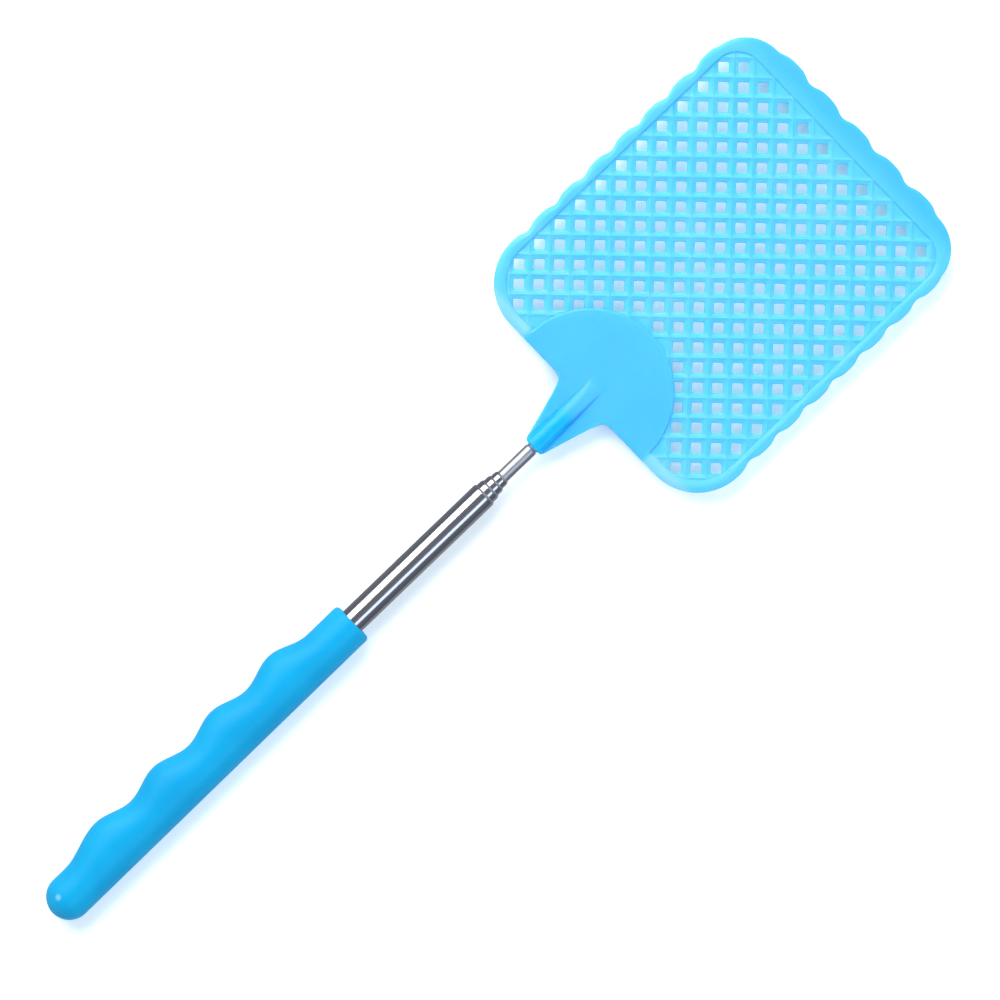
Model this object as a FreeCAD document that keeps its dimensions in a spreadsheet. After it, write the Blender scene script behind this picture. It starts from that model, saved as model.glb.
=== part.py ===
"""Telescopic fly swatter: a moulded grip, a rod of five stainless sections and a mesh head.

The swatter lies flat and collapsed, on the floor plane z = 0. +X runs along the rod from the grip
to the head, +Y is the side with the finger swells, +Z is up, and the origin is under the middle of
the whole object. Lengths are in millimetres.
"""
import FreeCAD, Part
import math
import os
import Sketcher

# Driving dimensions. Places along the rod are measured from the closed end of the grip.
DIMENSIONS = {
    "overall_length": 330.8,
    # grip
    "grip_length": 123.0,
    "grip_thickness": 12.6,
    "grip_end_radius": 6.8,
    "tail_side": 7.45,
    "mouth_side": 6.9,
    "tail_top": 6.15,
    "mouth_top": 6.35,
    "swell_middle": 8.35,
    "swell_rise": 1.3,
    "swell_pitch": 23.5,
    "last_swell_x": 97.9,
    "core_start": 14.0,
    "core_radius": 3.0,
    # telescopic rod
    "tube_mouth_x": 177.2,
    "outer_tube_radius": 4.0,
    "radius_step": 0.5,
    "wall": 0.25,
    "travel": 100.0,
    "section_step": 2.4,
    "crimp_length": 2.4,
    "crimp_lip": 1.0,
    "crimp_clearance": 0.04,
    "stop_gap": 0.1,
    "spring_gap": 0.2,
    "spring_length": 10.0,
    "spring_bore_clearance": 0.03,
    "spring_outside_clearance": 0.04,
    "bead_length": 1.2,
    "bead_rise": 0.12,
    "flange_thickness": 1.0,
    "flange_clearance": 0.06,
    "plug_gap": 0.02,
    # swatter head
    "socket_mouth_x": 196.7,
    "socket_depth": 14.0,
    "plate_x": 217.0,
    "plate_half_width": 48.0,
    "plate_thickness": 2.4,
    "mesh_thickness": 1.7,
    "near_corner": 17.25,
    "far_corner": 13.0,
    "side_notch_x": 22.9,
    "side_pitch": 11.3,
    "side_notch_depth": 0.9,
    "end_pitch": 13.6,
    "end_notch_depth": 1.1,
    "rim_width": 3.8,
    "end_rim_width": 7.8,
    "window_far_corner": 8.0,
    "patch_radius": 25.0,
    "patch_x": 2.9,
    "neck_mouth_half": 3.25,
    "neck_root_half": 9.0,
    "boss_radius": 3.25,
    "boss_end_radius": 2.1,
    "boss_length": 24.0,
    "boss_nose": 3.5,
    "hole_pitch": 5.9,
    "hole_side": 3.5,
    "lattice_x": 55.9,
    "smallest_hole_part": 0.15,
}
SWELLS = 4  # finger swells on the grip
SIDE_LOBES = 7  # whole scallops on each long side of the head
END_LOBES = 5  # whole scallops on its far end
SECTIONS = ("second", "third", "fourth", "tip")  # the sections that slide, from the outer tube in
SPLIT_SPRING_DEG = 345.0
END_OVALS_DEG = (8, 20, 35, 50, 70, 90)  # ovals of the grip's round end, by angle from its tip
ALONG_ROD = FreeCAD.Rotation(FreeCAD.Vector(0, 1, 0), 90)  # turns a cylinder's Z onto the rod
ACROSS_ROD = FreeCAD.Rotation(FreeCAD.Vector(1, 1, 1), 120)  # turns an oval's plane across the rod
TUBE_LENGTH = (
    "(sizes.travel + sizes.section_step + sizes.spring_gap + sizes.spring_length"
    " + sizes.bead_length + sizes.crimp_length + sizes.stop_gap)"
)  # a tube holds the next one's spring and bead over the whole travel
OUTER_BASE_X = f"(sizes.tube_mouth_x - {TUBE_LENGTH})"

doc = FreeCAD.newDocument("fly_swatter")
sheet = doc.addObject("Spreadsheet::Sheet", "sizes")
for row, (alias, value) in enumerate(DIMENSIONS.items(), start=1):
    sheet.set(f"A{row}", alias)
    sheet.set(f"B{row}", str(value))
    sheet.setAlias(f"B{row}", alias)
doc.recompute()


def number(expression):
    """The present value of an expression in the sheet's cells."""
    value = sheet.evalExpression(expression)
    return float(getattr(value, "Value", value))


def place(piece, x, rotation=FreeCAD.Rotation()):
    """Puts a piece on the rod's axis, at x from the closed end of the grip."""
    piece.Placement = FreeCAD.Placement(FreeCAD.Vector(), rotation)
    piece.setExpression("Placement.Base.x", f"{x} - sizes.overall_length / 2")
    piece.setExpression("Placement.Base.z", "sizes.grip_thickness / 2")


def outline(sketch, corners):
    """Draws one closed outline, anticlockwise.

    Each corner is (x, y), or (x, y, radius, side) where the edge that leaves it is an arc: a
    "round" arc bulges outwards and a "hollow" one inwards. All but the side are expressions.
    """
    first = sketch.GeometryCount
    points = [FreeCAD.Vector(number(corner[0]), number(corner[1]), 0) for corner in corners]
    ends = []
    for at, corner in enumerate(corners):
        start, end = points[at], points[(at + 1) % len(points)]
        if len(corner) == 2:
            sketch.addGeometry(Part.LineSegment(start, end), False)
            ends.append((1, 2))
            continue
        radius, hollow = number(corner[2]), corner[3] == "hollow"
        half = (end - start) * 0.5
        inward = FreeCAD.Vector(-half.y, half.x, 0).normalize() * (-1 if hollow else 1)
        centre = start + half + inward * math.sqrt(radius**2 - half.Length**2)
        angles = [math.atan2(p.y - centre.y, p.x - centre.x) for p in (start, end)]
        circle = Part.Circle(centre, FreeCAD.Vector(0, 0, 1), radius)
        # an arc runs anticlockwise, so a hollow one starts at the edge's end
        sketch.addGeometry(Part.ArcOfCircle(circle, *(angles[::-1] if hollow else angles)), False)
        ends.append((2, 1) if hollow else (1, 2))
        bound = sketch.addConstraint(Sketcher.Constraint("Radius", first + at, radius))
        sketch.setExpression(f"Constraints[{bound}]", corner[2])
    for at, corner in enumerate(corners):
        after = (at + 1) % len(corners)
        here, there = (first + at, ends[at][1]), (first + after, ends[after][0])
        sketch.addConstraint(Sketcher.Constraint("Coincident", *here, *there))
        for kind, expression in zip(("DistanceX", "DistanceY"), corner):
            constraint = Sketcher.Constraint(kind, first + at, ends[at][0], number(expression))
            bound = sketch.addConstraint(constraint)
            sketch.setExpression(f"Constraints[{bound}]", expression)


def sketch_on(body, name, *outlines):
    """A sketch on the body's own XY plane."""
    sketch = body.newObject("Sketcher::SketchObject", name)
    plane = next(p for p in body.Origin.OriginFeatures if p.Role == "XY_Plane")
    sketch.AttachmentSupport = [(plane, "")]
    sketch.MapMode = "FlatFace"
    for corners in outlines:
        outline(sketch, corners)
    return sketch


def padded(body, name, thickness, *outlines):
    """A plate of the given thickness, half above and half below the rod's axis."""
    pad = body.newObject("PartDesign::Pad", name)
    pad.Profile = sketch_on(body, f"{name}_outline", *outlines)
    pad.SideType = "Symmetric"
    pad.setExpression("Length", thickness)


def turned(body, name, corners, degrees=360.0):
    """A piece turned about the rod's axis. The profile's first number runs along the rod."""
    sketch = sketch_on(body, f"{name}_profile", corners)
    revolution = body.newObject("PartDesign::Revolution", name)
    revolution.Profile = sketch
    revolution.ReferenceAxis = (sketch, ["H_Axis"])
    revolution.Angle = degrees


def cylinder(name, start_x, end_x, radius):
    """A cylinder on the rod's axis, used to bore a hole."""
    bar = doc.addObject("Part::Cylinder", name)
    bar.setExpression("Radius", radius)
    bar.setExpression("Height", f"{end_x} - {start_x}")
    place(bar, start_x, ALONG_ROD)
    return bar


# --- grip ---------------------------------------------------------------------------------------


def make_oval(name, x, top, share=1.0):
    """An oval across the rod, from the grip's straight side to the given height on the other.

    Share shrinks it about its own middle, for the round end.
    """
    taper = f"(sizes.mouth_side - sizes.tail_side) * {x} / sizes.grip_length"
    side = f"(sizes.tail_side + {taper})"
    piece = doc.addObject("Part::Ellipse", name)
    piece.setExpression("MajorRadius", f"{share:.4f} * ({top} + {side}) / 2")
    piece.setExpression("MinorRadius", f"{share:.4f} * sizes.grip_thickness / 2")
    place(piece, x, ACROSS_ROD)
    piece.setExpression("Placement.Base.y", f"({top} - {side}) / 2")
    return piece


def swell_top(step):
    """How high the finger side stands, so many quarters of a swell past the last swell's crest."""
    if step > 1:
        return "sizes.mouth_top"
    if step < -4 * (SWELLS - 1) - 2:
        return "sizes.tail_top"
    return f"(sizes.swell_middle + {(1, 0, -1, 0)[step % 4]} * sizes.swell_rise)"


def make_grip():
    """The moulded grip: ovals lofted along the rod, a round end, and a blind stepped bore."""
    ovals = []
    for degrees in END_OVALS_DEG:
        along, share = 1 - math.cos(math.radians(degrees)), math.sin(math.radians(degrees))
        x = f"(sizes.grip_end_radius * {along:.4f})"
        ovals.append(make_oval(f"grip_end_oval_{degrees}", x, "sizes.tail_top", share))
    for at, step in enumerate(range(-4 * (SWELLS - 1) - 3, 5)):
        x = f"(sizes.last_swell_x + {step / 4} * sizes.swell_pitch)"
        ovals.append(make_oval(f"grip_oval_{at}", x, swell_top(step)))
    ovals.append(make_oval("grip_mouth_oval", "sizes.grip_length", "sizes.mouth_top"))
    barrel = doc.addObject("Part::Loft", "grip_barrel")
    barrel.Sections = ovals
    barrel.Solid = True
    seat_x = f"({OUTER_BASE_X} - sizes.flange_thickness)"
    bores = doc.addObject("Part::Fuse", "grip_bores")
    bores.Base = cylinder("tube_seat", seat_x, "sizes.grip_length", "sizes.outer_tube_radius")
    bores.Tool = cylinder("core_hole", "sizes.core_start", seat_x, "sizes.core_radius")
    grip = doc.addObject("Part::Cut", "grip")
    grip.Base = barrel
    grip.Tool = bores
    return [grip]


# --- telescopic rod -----------------------------------------------------------------------------


def tube_sizes(order):
    """Where the tube of this order starts, and its outer radius. Order 0 is the outer tube."""
    x = f"({OUTER_BASE_X} + {order} * sizes.section_step)"
    return x, f"(sizes.outer_tube_radius - {order} * sizes.radius_step)"


def make_tube(node, order):
    """A drawn tube, with a rolled bead ahead of its spring and a mouth crimped on the next one."""
    x, radius = tube_sizes(order)
    bead_x = "(sizes.spring_gap + sizes.spring_length)"
    lip = f"({radius} - sizes.radius_step + sizes.crimp_clearance + sizes.wall)"
    length = f"({TUBE_LENGTH})"
    if order == len(SECTIONS):
        length = f"(sizes.socket_mouth_x + sizes.socket_depth - {x})"
        outside = [(length, radius)]
    else:
        outside = [
            (length, lip),
            (f"{length} - sizes.crimp_lip", lip),
            (f"{length} - sizes.crimp_length", radius),
        ]
    if order > 0:
        crest = f"{radius} + sizes.bead_rise"
        outside += [
            (f"{bead_x} + sizes.bead_length", radius),
            (f"{bead_x} + sizes.bead_length * 0.75", crest),
            (f"{bead_x} + sizes.bead_length * 0.25", crest),
            (bead_x, radius),
        ]
    outside.append(("0", radius))
    inside = [(along, f"{out} - sizes.wall") for along, out in reversed(outside)]
    body = doc.addObject("PartDesign::Body", node)
    turned(body, f"{node}_wall", inside + outside)
    place(body, x)
    return body


def make_base_plug(node, order):
    """The plug in a tube's base. Its flange keeps the friction spring on the tube."""
    x, radius = tube_sizes(order)
    flange = radius
    if order > 0:
        flange = f"({radius} + sizes.radius_step - sizes.wall - sizes.flange_clearance)"
    front = "(sizes.section_step - sizes.flange_thickness - sizes.plug_gap)"
    back = "(0 - sizes.flange_thickness)"
    inner = f"{radius} - sizes.wall"
    body = doc.addObject("PartDesign::Body", node)
    profile = [(back, "0"), (front, "0"), (front, inner), ("0", inner), ("0", flange), (back, flange)]
    turned(body, f"{node}_turned", profile)
    place(body, x)
    return body


def make_spring(node, order):
    """The split friction spring round a tube's base, which drags in the tube outside it."""
    x, radius = tube_sizes(order)
    bore = f"({radius} + sizes.spring_bore_clearance)"
    outside = f"({radius} + sizes.radius_step - sizes.wall - sizes.spring_outside_clearance)"
    length = "sizes.spring_length"
    body = doc.addObject("PartDesign::Body", node)
    profile = [("0", bore), (length, bore), (length, outside), ("0", outside)]
    turned(body, f"{node}_sleeve", profile, SPLIT_SPRING_DEG)
    place(body, f"({x} + sizes.spring_gap)")
    return body


def make_rod():
    """The five tubes, with the plug and the spring that each holds inside."""
    pieces = [make_tube("outer_tube", 0), make_base_plug("outer_base_plug", 0)]
    for order, name in enumerate(SECTIONS, start=1):
        pieces.append(make_tube(f"{name}_tube", order))
        pieces.append(make_base_plug(f"{name}_base_plug", order))
        pieces.append(make_spring(f"{name}_friction_spring", order))
    return pieces


# --- swatter head -------------------------------------------------------------------------------


def lobe_radius(pitch, depth):
    """The radius of a scallop, from its width and how deep its notches are."""
    return f"(({pitch}) ^ 2 / (8 * {depth}) + {depth} / 2)"


def plate_corners():
    """The scalloped plate with its neck, anticlockwise from the neck's mouth at -Y.

    Everything on the head is measured from the middle of the plate's near edge.
    """
    neck_x = "(sizes.socket_mouth_x - sizes.plate_x)"
    far_x = "(sizes.overall_length - sizes.plate_x)"
    side = "sizes.plate_half_width"
    notch_y = f"({side} - sizes.side_notch_depth)"
    notch_x = f"({far_x} - sizes.end_notch_depth)"
    corner = "sizes.near_corner"
    side_lobe = lobe_radius("sizes.side_pitch", "sizes.side_notch_depth")
    end_lobe = lobe_radius("sizes.end_pitch", "sizes.end_notch_depth")
    side_notches = [f"sizes.side_notch_x + {at} * sizes.side_pitch" for at in range(SIDE_LOBES + 1)]
    end_notches = [f"{at - END_LOBES / 2} * sizes.end_pitch" for at in range(END_LOBES + 1)]
    corners = [
        (neck_x, "0 - sizes.neck_mouth_half"),
        ("0", "0 - sizes.neck_root_half"),
        ("0", f"{corner} - {side}", corner, "round"),
        (corner, f"0 - {side}", side_lobe, "round"),
    ]
    corners += [(x, f"0 - {notch_y}", side_lobe, "round") for x in side_notches[:-1]]
    corners.append((side_notches[-1], f"0 - {notch_y}", "sizes.far_corner", "round"))
    corners += [(notch_x, y, end_lobe, "round") for y in end_notches[:-1]]
    corners.append((notch_x, end_notches[-1], "sizes.far_corner", "round"))
    corners += [(x, notch_y, side_lobe, "round") for x in reversed(side_notches)]
    corners += [
        (corner, side, corner, "round"),
        ("0", f"{side} - {corner}"),
        ("0", "sizes.neck_root_half"),
        (neck_x, "sizes.neck_mouth_half"),
    ]
    return corners


def window_corners():
    """The meshed window inside the rim, with the half disc of the solid patch left out of it."""
    far_x = "(sizes.overall_length - sizes.plate_x - sizes.end_rim_width)"
    side = "(sizes.plate_half_width - sizes.rim_width)"
    near_x = "sizes.rim_width"
    near_corner = "(sizes.near_corner - sizes.rim_width)"
    far_corner = "sizes.window_far_corner"
    patch = "sizes.patch_radius"
    bite = f"sqrt({patch} ^ 2 - ({near_x} - sizes.patch_x) ^ 2)"
    return [
        (near_x, f"0 - {bite}"),
        (near_x, f"0 - ({side} - {near_corner})", near_corner, "round"),
        (f"{near_x} + {near_corner}", f"0 - {side}"),
        (f"{far_x} - {far_corner}", f"0 - {side}", far_corner, "round"),
        (far_x, f"0 - ({side} - {far_corner})"),
        (far_x, f"{side} - {far_corner}", far_corner, "round"),
        (f"{far_x} - {far_corner}", side),
        (f"{near_x} + {near_corner}", side, near_corner, "round"),
        (near_x, f"{side} - {near_corner}"),
        (near_x, bite, patch, "hollow"),
        (f"sizes.patch_x + {patch}", "0", patch, "hollow"),
    ]


def mesh_openings(window):
    """The square holes of the mesh, on a lattice turned by 45 degrees and cut off at the window."""
    side = number("sizes.hole_side")
    spacing = number("sizes.hole_pitch") / math.sqrt(2)
    start_x = number("sizes.lattice_x")
    box = window.BoundBox
    columns = range(math.floor((box.XMin - start_x) / spacing), math.ceil((box.XMax - start_x) / spacing))
    rows = math.ceil(box.YMax / spacing)
    holes = []
    for column in columns:
        for row in range(-rows, rows + 1):
            if (column + row) % 2:
                continue
            corner = FreeCAD.Vector(-side / 2, -side / 2, box.ZMin)
            hole = Part.makeBox(side, side, box.ZLength, corner)
            hole.rotate(FreeCAD.Vector(), FreeCAD.Vector(0, 0, 1), 45)
            hole.translate(FreeCAD.Vector(start_x + column * spacing, row * spacing, 0))
            holes.append(hole)
    smallest = number("sizes.smallest_hole_part") * holes[0].Volume
    openings = Part.makeCompound(holes).common(window).Solids
    return Part.makeCompound([hole for hole in openings if hole.Volume > smallest])


def make_head():
    """The flexible head: rim, solid patch, mesh, and a neck with a socket for the tip tube."""
    neck_x = "(sizes.socket_mouth_x - sizes.plate_x)"
    boss_x = f"({neck_x} + sizes.boss_length)"
    blank = doc.addObject("PartDesign::Body", "head_blank")
    padded(blank, "rim", "sizes.plate_thickness", plate_corners(), window_corners())
    padded(blank, "mesh_sheet", "sizes.mesh_thickness", window_corners())
    boss = [
        (neck_x, "0"),
        (f"{boss_x} + sizes.boss_nose", "0"),
        (boss_x, "sizes.boss_end_radius"),
        (neck_x, "sizes.boss_radius"),
    ]
    turned(blank, "socket_boss", boss)
    place(blank, "sizes.plate_x")
    doc.recompute()
    window = Part.Face(doc.getObject("mesh_sheet_outline").Shape)
    thickness = number("sizes.plate_thickness")
    window.translate(FreeCAD.Vector(0, 0, -thickness))
    openings = doc.addObject("Part::Feature", "mesh_openings")
    openings.Shape = mesh_openings(window.extrude(FreeCAD.Vector(0, 0, 2 * thickness)))
    place(openings, "sizes.plate_x")
    socket = cylinder(
        "socket",
        "sizes.socket_mouth_x",
        "(sizes.socket_mouth_x + sizes.socket_depth)",
        tube_sizes(len(SECTIONS))[1],
    )
    bored = doc.addObject("Part::Cut", "bored_head")
    bored.Base = blank
    bored.Tool = socket
    head = doc.addObject("Part::Cut", "swatter_head")
    head.Base = bored
    head.Tool = openings
    return [head]


# --- checks and files ---------------------------------------------------------------------------

pieces = make_grip() + make_rod() + make_head()
doc.recompute()

for item in doc.Objects:
    if "Invalid" in item.State or "Error" in item.State:
        raise RuntimeError(f"{item.Name} failed: {item.State}")
os.makedirs("parts", exist_ok=True)
for piece in pieces:
    piece.Label = piece.Name
    shape = piece.Shape
    if shape.isNull() or not shape.isValid() or len(shape.Solids) != 1:
        raise RuntimeError(f"{piece.Label} is not one valid solid")
    shape.exportStep(f"parts/{piece.Label}.step")
    print(f"{piece.Label:24s} {shape.Volume:10.2f} mm3  {len(shape.Faces):5d} faces  {shape.BoundBox}")
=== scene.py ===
# %% [markdown]
# # A telescopic fly swatter
# The swatter is a moulded grip, five polished tubes that slide inside each other, and a flexible
# mesh head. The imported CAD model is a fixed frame, which gives every size and place, and this
# script gives each piece its finished surface. Lengths are written in millimetres, and become
# metres when a mesh is made.

# %% Load the frame
import math

import bmesh
import bpy
import numpy as np
from mathutils import Matrix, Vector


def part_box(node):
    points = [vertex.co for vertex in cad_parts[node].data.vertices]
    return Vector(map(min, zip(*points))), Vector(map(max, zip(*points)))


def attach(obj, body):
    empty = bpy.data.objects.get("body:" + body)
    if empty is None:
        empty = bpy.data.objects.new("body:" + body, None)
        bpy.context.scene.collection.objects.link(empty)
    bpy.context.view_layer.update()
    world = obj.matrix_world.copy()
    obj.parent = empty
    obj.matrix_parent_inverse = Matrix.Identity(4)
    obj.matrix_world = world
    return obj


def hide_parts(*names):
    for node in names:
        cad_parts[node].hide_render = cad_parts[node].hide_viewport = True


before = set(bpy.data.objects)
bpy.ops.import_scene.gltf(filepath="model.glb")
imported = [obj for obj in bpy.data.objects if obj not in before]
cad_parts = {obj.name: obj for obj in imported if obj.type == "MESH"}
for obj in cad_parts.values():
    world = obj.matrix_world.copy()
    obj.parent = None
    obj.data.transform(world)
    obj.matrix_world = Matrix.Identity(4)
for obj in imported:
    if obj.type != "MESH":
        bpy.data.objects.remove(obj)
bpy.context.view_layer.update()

MM = 0.001

# %% [markdown]
# ## Measures from the frame
# Every piece is placed by its CAD node's box, so nothing has to be fitted by eye. The rod's axis
# is the line that all the tubes share, and the grip's closed end is where lengths along the rod
# are counted from.

# %% Read the boxes


def box_mm(node):
    """The lowest and highest corner of a CAD node, in millimetres."""
    low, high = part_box(node)
    return np.array(low) / MM, np.array(high) / MM


SECTIONS = ("second", "third", "fourth", "tip")
TUBES = ("outer_tube",) + tuple(f"{name}_tube" for name in SECTIONS)
grip_low, grip_high = box_mm("grip")
tube_boxes = {name: box_mm(name) for name in TUBES}
head_low, head_high = box_mm("swatter_head")
AXIS_Z = (tube_boxes["outer_tube"][0][2] + tube_boxes["outer_tube"][1][2]) / 2
TUBE_RADIUS = tube_boxes["outer_tube"][1][1]
RADIUS_STEP = 0.5
WALL = 0.25
print(f"rod axis at z {AXIS_Z:.2f} mm, outer tube radius {TUBE_RADIUS:.2f} mm")

# %% [markdown]
# ## Two tools for every shell
# A shell is a stack of rings. Each ring has the same number of points, so the faces between two
# rings are plain quads that whole-array arithmetic can number. A ball-like shell ends in a pole at
# each end, and a tube's wall closes on itself like a ring doughnut.

# %% Mesh tools


def link_piece(name, points, faces, sharp_deg=40.0):
    """Makes a mesh object at the origin from points in millimetres, with smooth outward faces."""
    mesh = bpy.data.meshes.new(name)
    mesh.from_pydata((np.asarray(points) * MM).tolist(), [], [list(map(int, face)) for face in faces])
    shell = bmesh.new()
    shell.from_mesh(mesh)
    bmesh.ops.recalc_face_normals(shell, faces=shell.faces)
    shell.to_mesh(mesh)
    shell.free()
    smooth(mesh, sharp_deg)
    piece = bpy.data.objects.new(name, mesh)
    bpy.context.scene.collection.objects.link(piece)
    return piece


def smooth(mesh, sharp_deg):
    """Shades a mesh smooth, but keeps an edge that turns by more than the given angle."""
    mesh.polygons.foreach_set("use_smooth", np.ones(len(mesh.polygons), dtype=bool))
    mesh.set_sharp_from_angle(angle=math.radians(sharp_deg))
    mesh.update()


def skin(rings, start=None, end=None, loop=False):
    """Points and faces of a shell over rings, an array of ring by point by x, y, z.

    Point j of ring i, point j + 1 of it and the same two of ring i + 1 make a quad, and a ring's
    last point joins its first. A pole closes a free end with a fan of triangles. With loop, the
    last ring joins the first instead.
    """
    count, around = rings.shape[:2]
    index = np.arange(count * around).reshape(count, around)
    here, there = (index, np.roll(index, -1, axis=0)) if loop else (index[:-1], index[1:])
    corners = [here, np.roll(here, -1, axis=1), np.roll(there, -1, axis=1), there]
    faces = np.stack(corners, axis=-1).reshape(-1, 4).tolist()
    points = [rings.reshape(-1, 3)]
    for ring, pole in ((index[0], start), (index[-1], end)):
        if pole is None:
            continue
        tip = np.full(around, sum(len(part) for part in points))
        faces += np.stack([ring, np.roll(ring, -1), tip], axis=-1).tolist()
        points.append(np.array([pole], dtype=float))
    return np.concatenate(points), faces


def ease(share):
    """A half cosine wave that climbs from 0 at share 0 to 1 at share 1, level at both ends."""
    return (1 - np.cos(np.pi * np.clip(share, 0, 1))) / 2


print("shell tools ready")

# %% [markdown]
# ## The grip
# The grip is one injection moulding. One side is straight, and four finger swells run along the
# other. Each section across it is an oval, so the shell is worked out as a grid: x runs along the
# grip and an angle runs round the oval. Its width comes from two curves, one for each side, and a
# quarter circle closes the rounded end. A fine seam shows where the two halves of the mould met, and
# the spot where the plastic was injected leaves a small dimple near the end.

# %% Grip outline
GRIP_LENGTH = 123.0
GRIP_THICKNESS = grip_high[2] - grip_low[2]
END_RADIUS = 6.8
TAIL_SIDE, MOUTH_SIDE = 7.45, 6.9
TAIL_TOP, MOUTH_TOP = 6.15, 6.35
SWELL_RISE, SWELL_PITCH = 1.3, 23.5
SWELL_MIDDLE = grip_high[1] - SWELL_RISE
LAST_CREST = 97.9
FIRST_CREST = LAST_CREST - 3 * SWELL_PITCH
TAIL_RUN, MOUTH_RUN = 16.2, 12.6


def finger_side(x):
    """How far the finger side stands from the rod's axis, x from the grip's closed end.

    It is a cosine wave between the first and the last crest, and an eased slope beyond them.
    """
    crest = SWELL_MIDDLE + SWELL_RISE
    wave = SWELL_MIDDLE + SWELL_RISE * np.cos(2 * np.pi * (x - LAST_CREST) / SWELL_PITCH)
    tail = TAIL_TOP + (crest - TAIL_TOP) * ease(1 + (x - FIRST_CREST) / TAIL_RUN)
    mouth = MOUTH_TOP + (crest - MOUTH_TOP) * ease(1 - (x - LAST_CREST) / MOUTH_RUN)
    return np.where(x < FIRST_CREST, tail, np.where(x > LAST_CREST, mouth, wave))


def straight_side(x):
    """How far the straight side stands from the axis: it narrows evenly towards the mouth."""
    return TAIL_SIDE + (MOUTH_SIDE - TAIL_SIDE) * x / GRIP_LENGTH


print(f"grip {GRIP_LENGTH:.1f} mm long, first crest at {FIRST_CREST:.1f} mm")

# %% Grip shell
MOUTH_ROUND = 1.3
SEAM_RISE, SEAM_WIDTH = 0.07, 0.16
GATE_X, GATE_Y, GATE_RADIUS, GATE_DEPTH = 4.8, 1.5, 0.8, 0.12
BORE_RADIUS, CORE_RADIUS = TUBE_RADIUS + 0.05, 3.0
BORE_CHAMFER = 0.45
SEAT_X, CORE_X = 59.9, 14.0


def grip_shell():
    """The grip's outside, its mouth and the stepped bore that holds the outer tube.

    Outside, y is the oval's middle plus its half width times the cosine of the angle, and z its
    half thickness times the sine. The end shrinks both by a quarter circle's sine, and the mouth
    takes a quarter circle off both. The seam is a bell curve of z, added to y.
    """
    seam = np.array([0.0, 0.7, 1.4, 2.1])
    near_seams = [seam, 180 - seam, 180 + seam, (360 - seam) % 360]
    turn = np.radians(np.unique(np.concatenate([np.arange(0, 360, 4)] + near_seams)))
    end, lip = np.radians(np.linspace(4, 90, 26)), np.radians(np.linspace(0, 90, 8))[1:]
    straight = np.linspace(END_RADIUS, GRIP_LENGTH - MOUTH_ROUND, 210)[1:]
    end_x = END_RADIUS * (1 - np.cos(end))
    lip_x = GRIP_LENGTH - MOUTH_ROUND * (1 - np.sin(lip))
    x = np.concatenate([end_x, straight, lip_x])
    share = np.concatenate([np.sin(end), np.ones(len(straight) + len(lip))])
    inset = np.concatenate([np.zeros(len(end) + len(straight)), MOUTH_ROUND * (1 - np.cos(lip))])
    middle = (finger_side(x) - straight_side(x)) / 2
    half_width = (finger_side(x) + straight_side(x)) / 2 * share - inset
    half_thick = GRIP_THICKNESS / 2 * share - inset
    y = middle[:, None] + half_width[:, None] * np.cos(turn)
    z = half_thick[:, None] * np.sin(turn)
    y += np.sign(np.cos(turn)) * SEAM_RISE * share[:, None] * np.exp(-((z / SEAM_WIDTH) ** 2))
    away = ((x[:, None] - GATE_X) ** 2 + (y - GATE_Y) ** 2) / GATE_RADIUS**2
    z -= GATE_DEPTH * np.exp(-away) * (z > 0)
    outside = np.stack([np.broadcast_to(x[:, None], y.shape), y, z], axis=-1)
    bore = [
        (GRIP_LENGTH, BORE_RADIUS + BORE_CHAMFER),
        (GRIP_LENGTH - BORE_CHAMFER, BORE_RADIUS),
        (SEAT_X, BORE_RADIUS),
        (SEAT_X, CORE_RADIUS),
        (CORE_X, CORE_RADIUS),
    ]
    inside = lathe_rings(np.array(bore), turn)
    poles = [0.0, middle[0], 0.0], [CORE_X, 0.0, 0.0]
    points, faces = skin(np.concatenate([outside, inside]), *poles)
    return points + [grip_low[0], 0, AXIS_Z], faces


def lathe_rings(profile, turn):
    """Rings round the x axis, one for each profile row of an x and the radius there.

    y is the radius times the cosine of the angle, and z is the radius times its sine.
    """
    x, radius = profile[:, :1], profile[:, 1:]
    along = np.broadcast_to(x, (len(profile), len(turn)))
    return np.stack([along, radius * np.cos(turn), radius * np.sin(turn)], axis=-1)


grip = link_piece("moulded_grip", *grip_shell())
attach(grip, "grip")
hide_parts("grip")
print(f"grip: {len(grip.data.polygons)} faces")

# %% [markdown]
# ## The telescopic rod
# Each tube is drawn from stainless steel and polished. Its mouth is rolled in to hold the next
# tube, and a rolled bead ahead of its friction spring stops it from pulling out. A tube is a
# lathe shape: one closed profile of its wall, turned round the rod's axis. The rolled mouth falls
# away in a steepening curve and the bead is a raised wave, so light breaks over them in the thin
# bright and dark rings that rolled metal shows.

# %% Tube shells
ROLL_LENGTH, ROLL_DROP = 0.95, 0.43
CRIMP_START, CRIMP_RUN = 1.6, 0.5
CRIMP_DROP = RADIUS_STEP - WALL - 0.04
BEAD_START, BEAD_LENGTH, BEAD_RISE = 10.2, 1.2, 0.12
GROOVE_WIDTH, GROOVE_DEPTH = 0.9, 0.32
AROUND_TUBE = np.radians(np.arange(0, 360, 5))
SOCKET_MOUTH = head_low[0]


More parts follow.
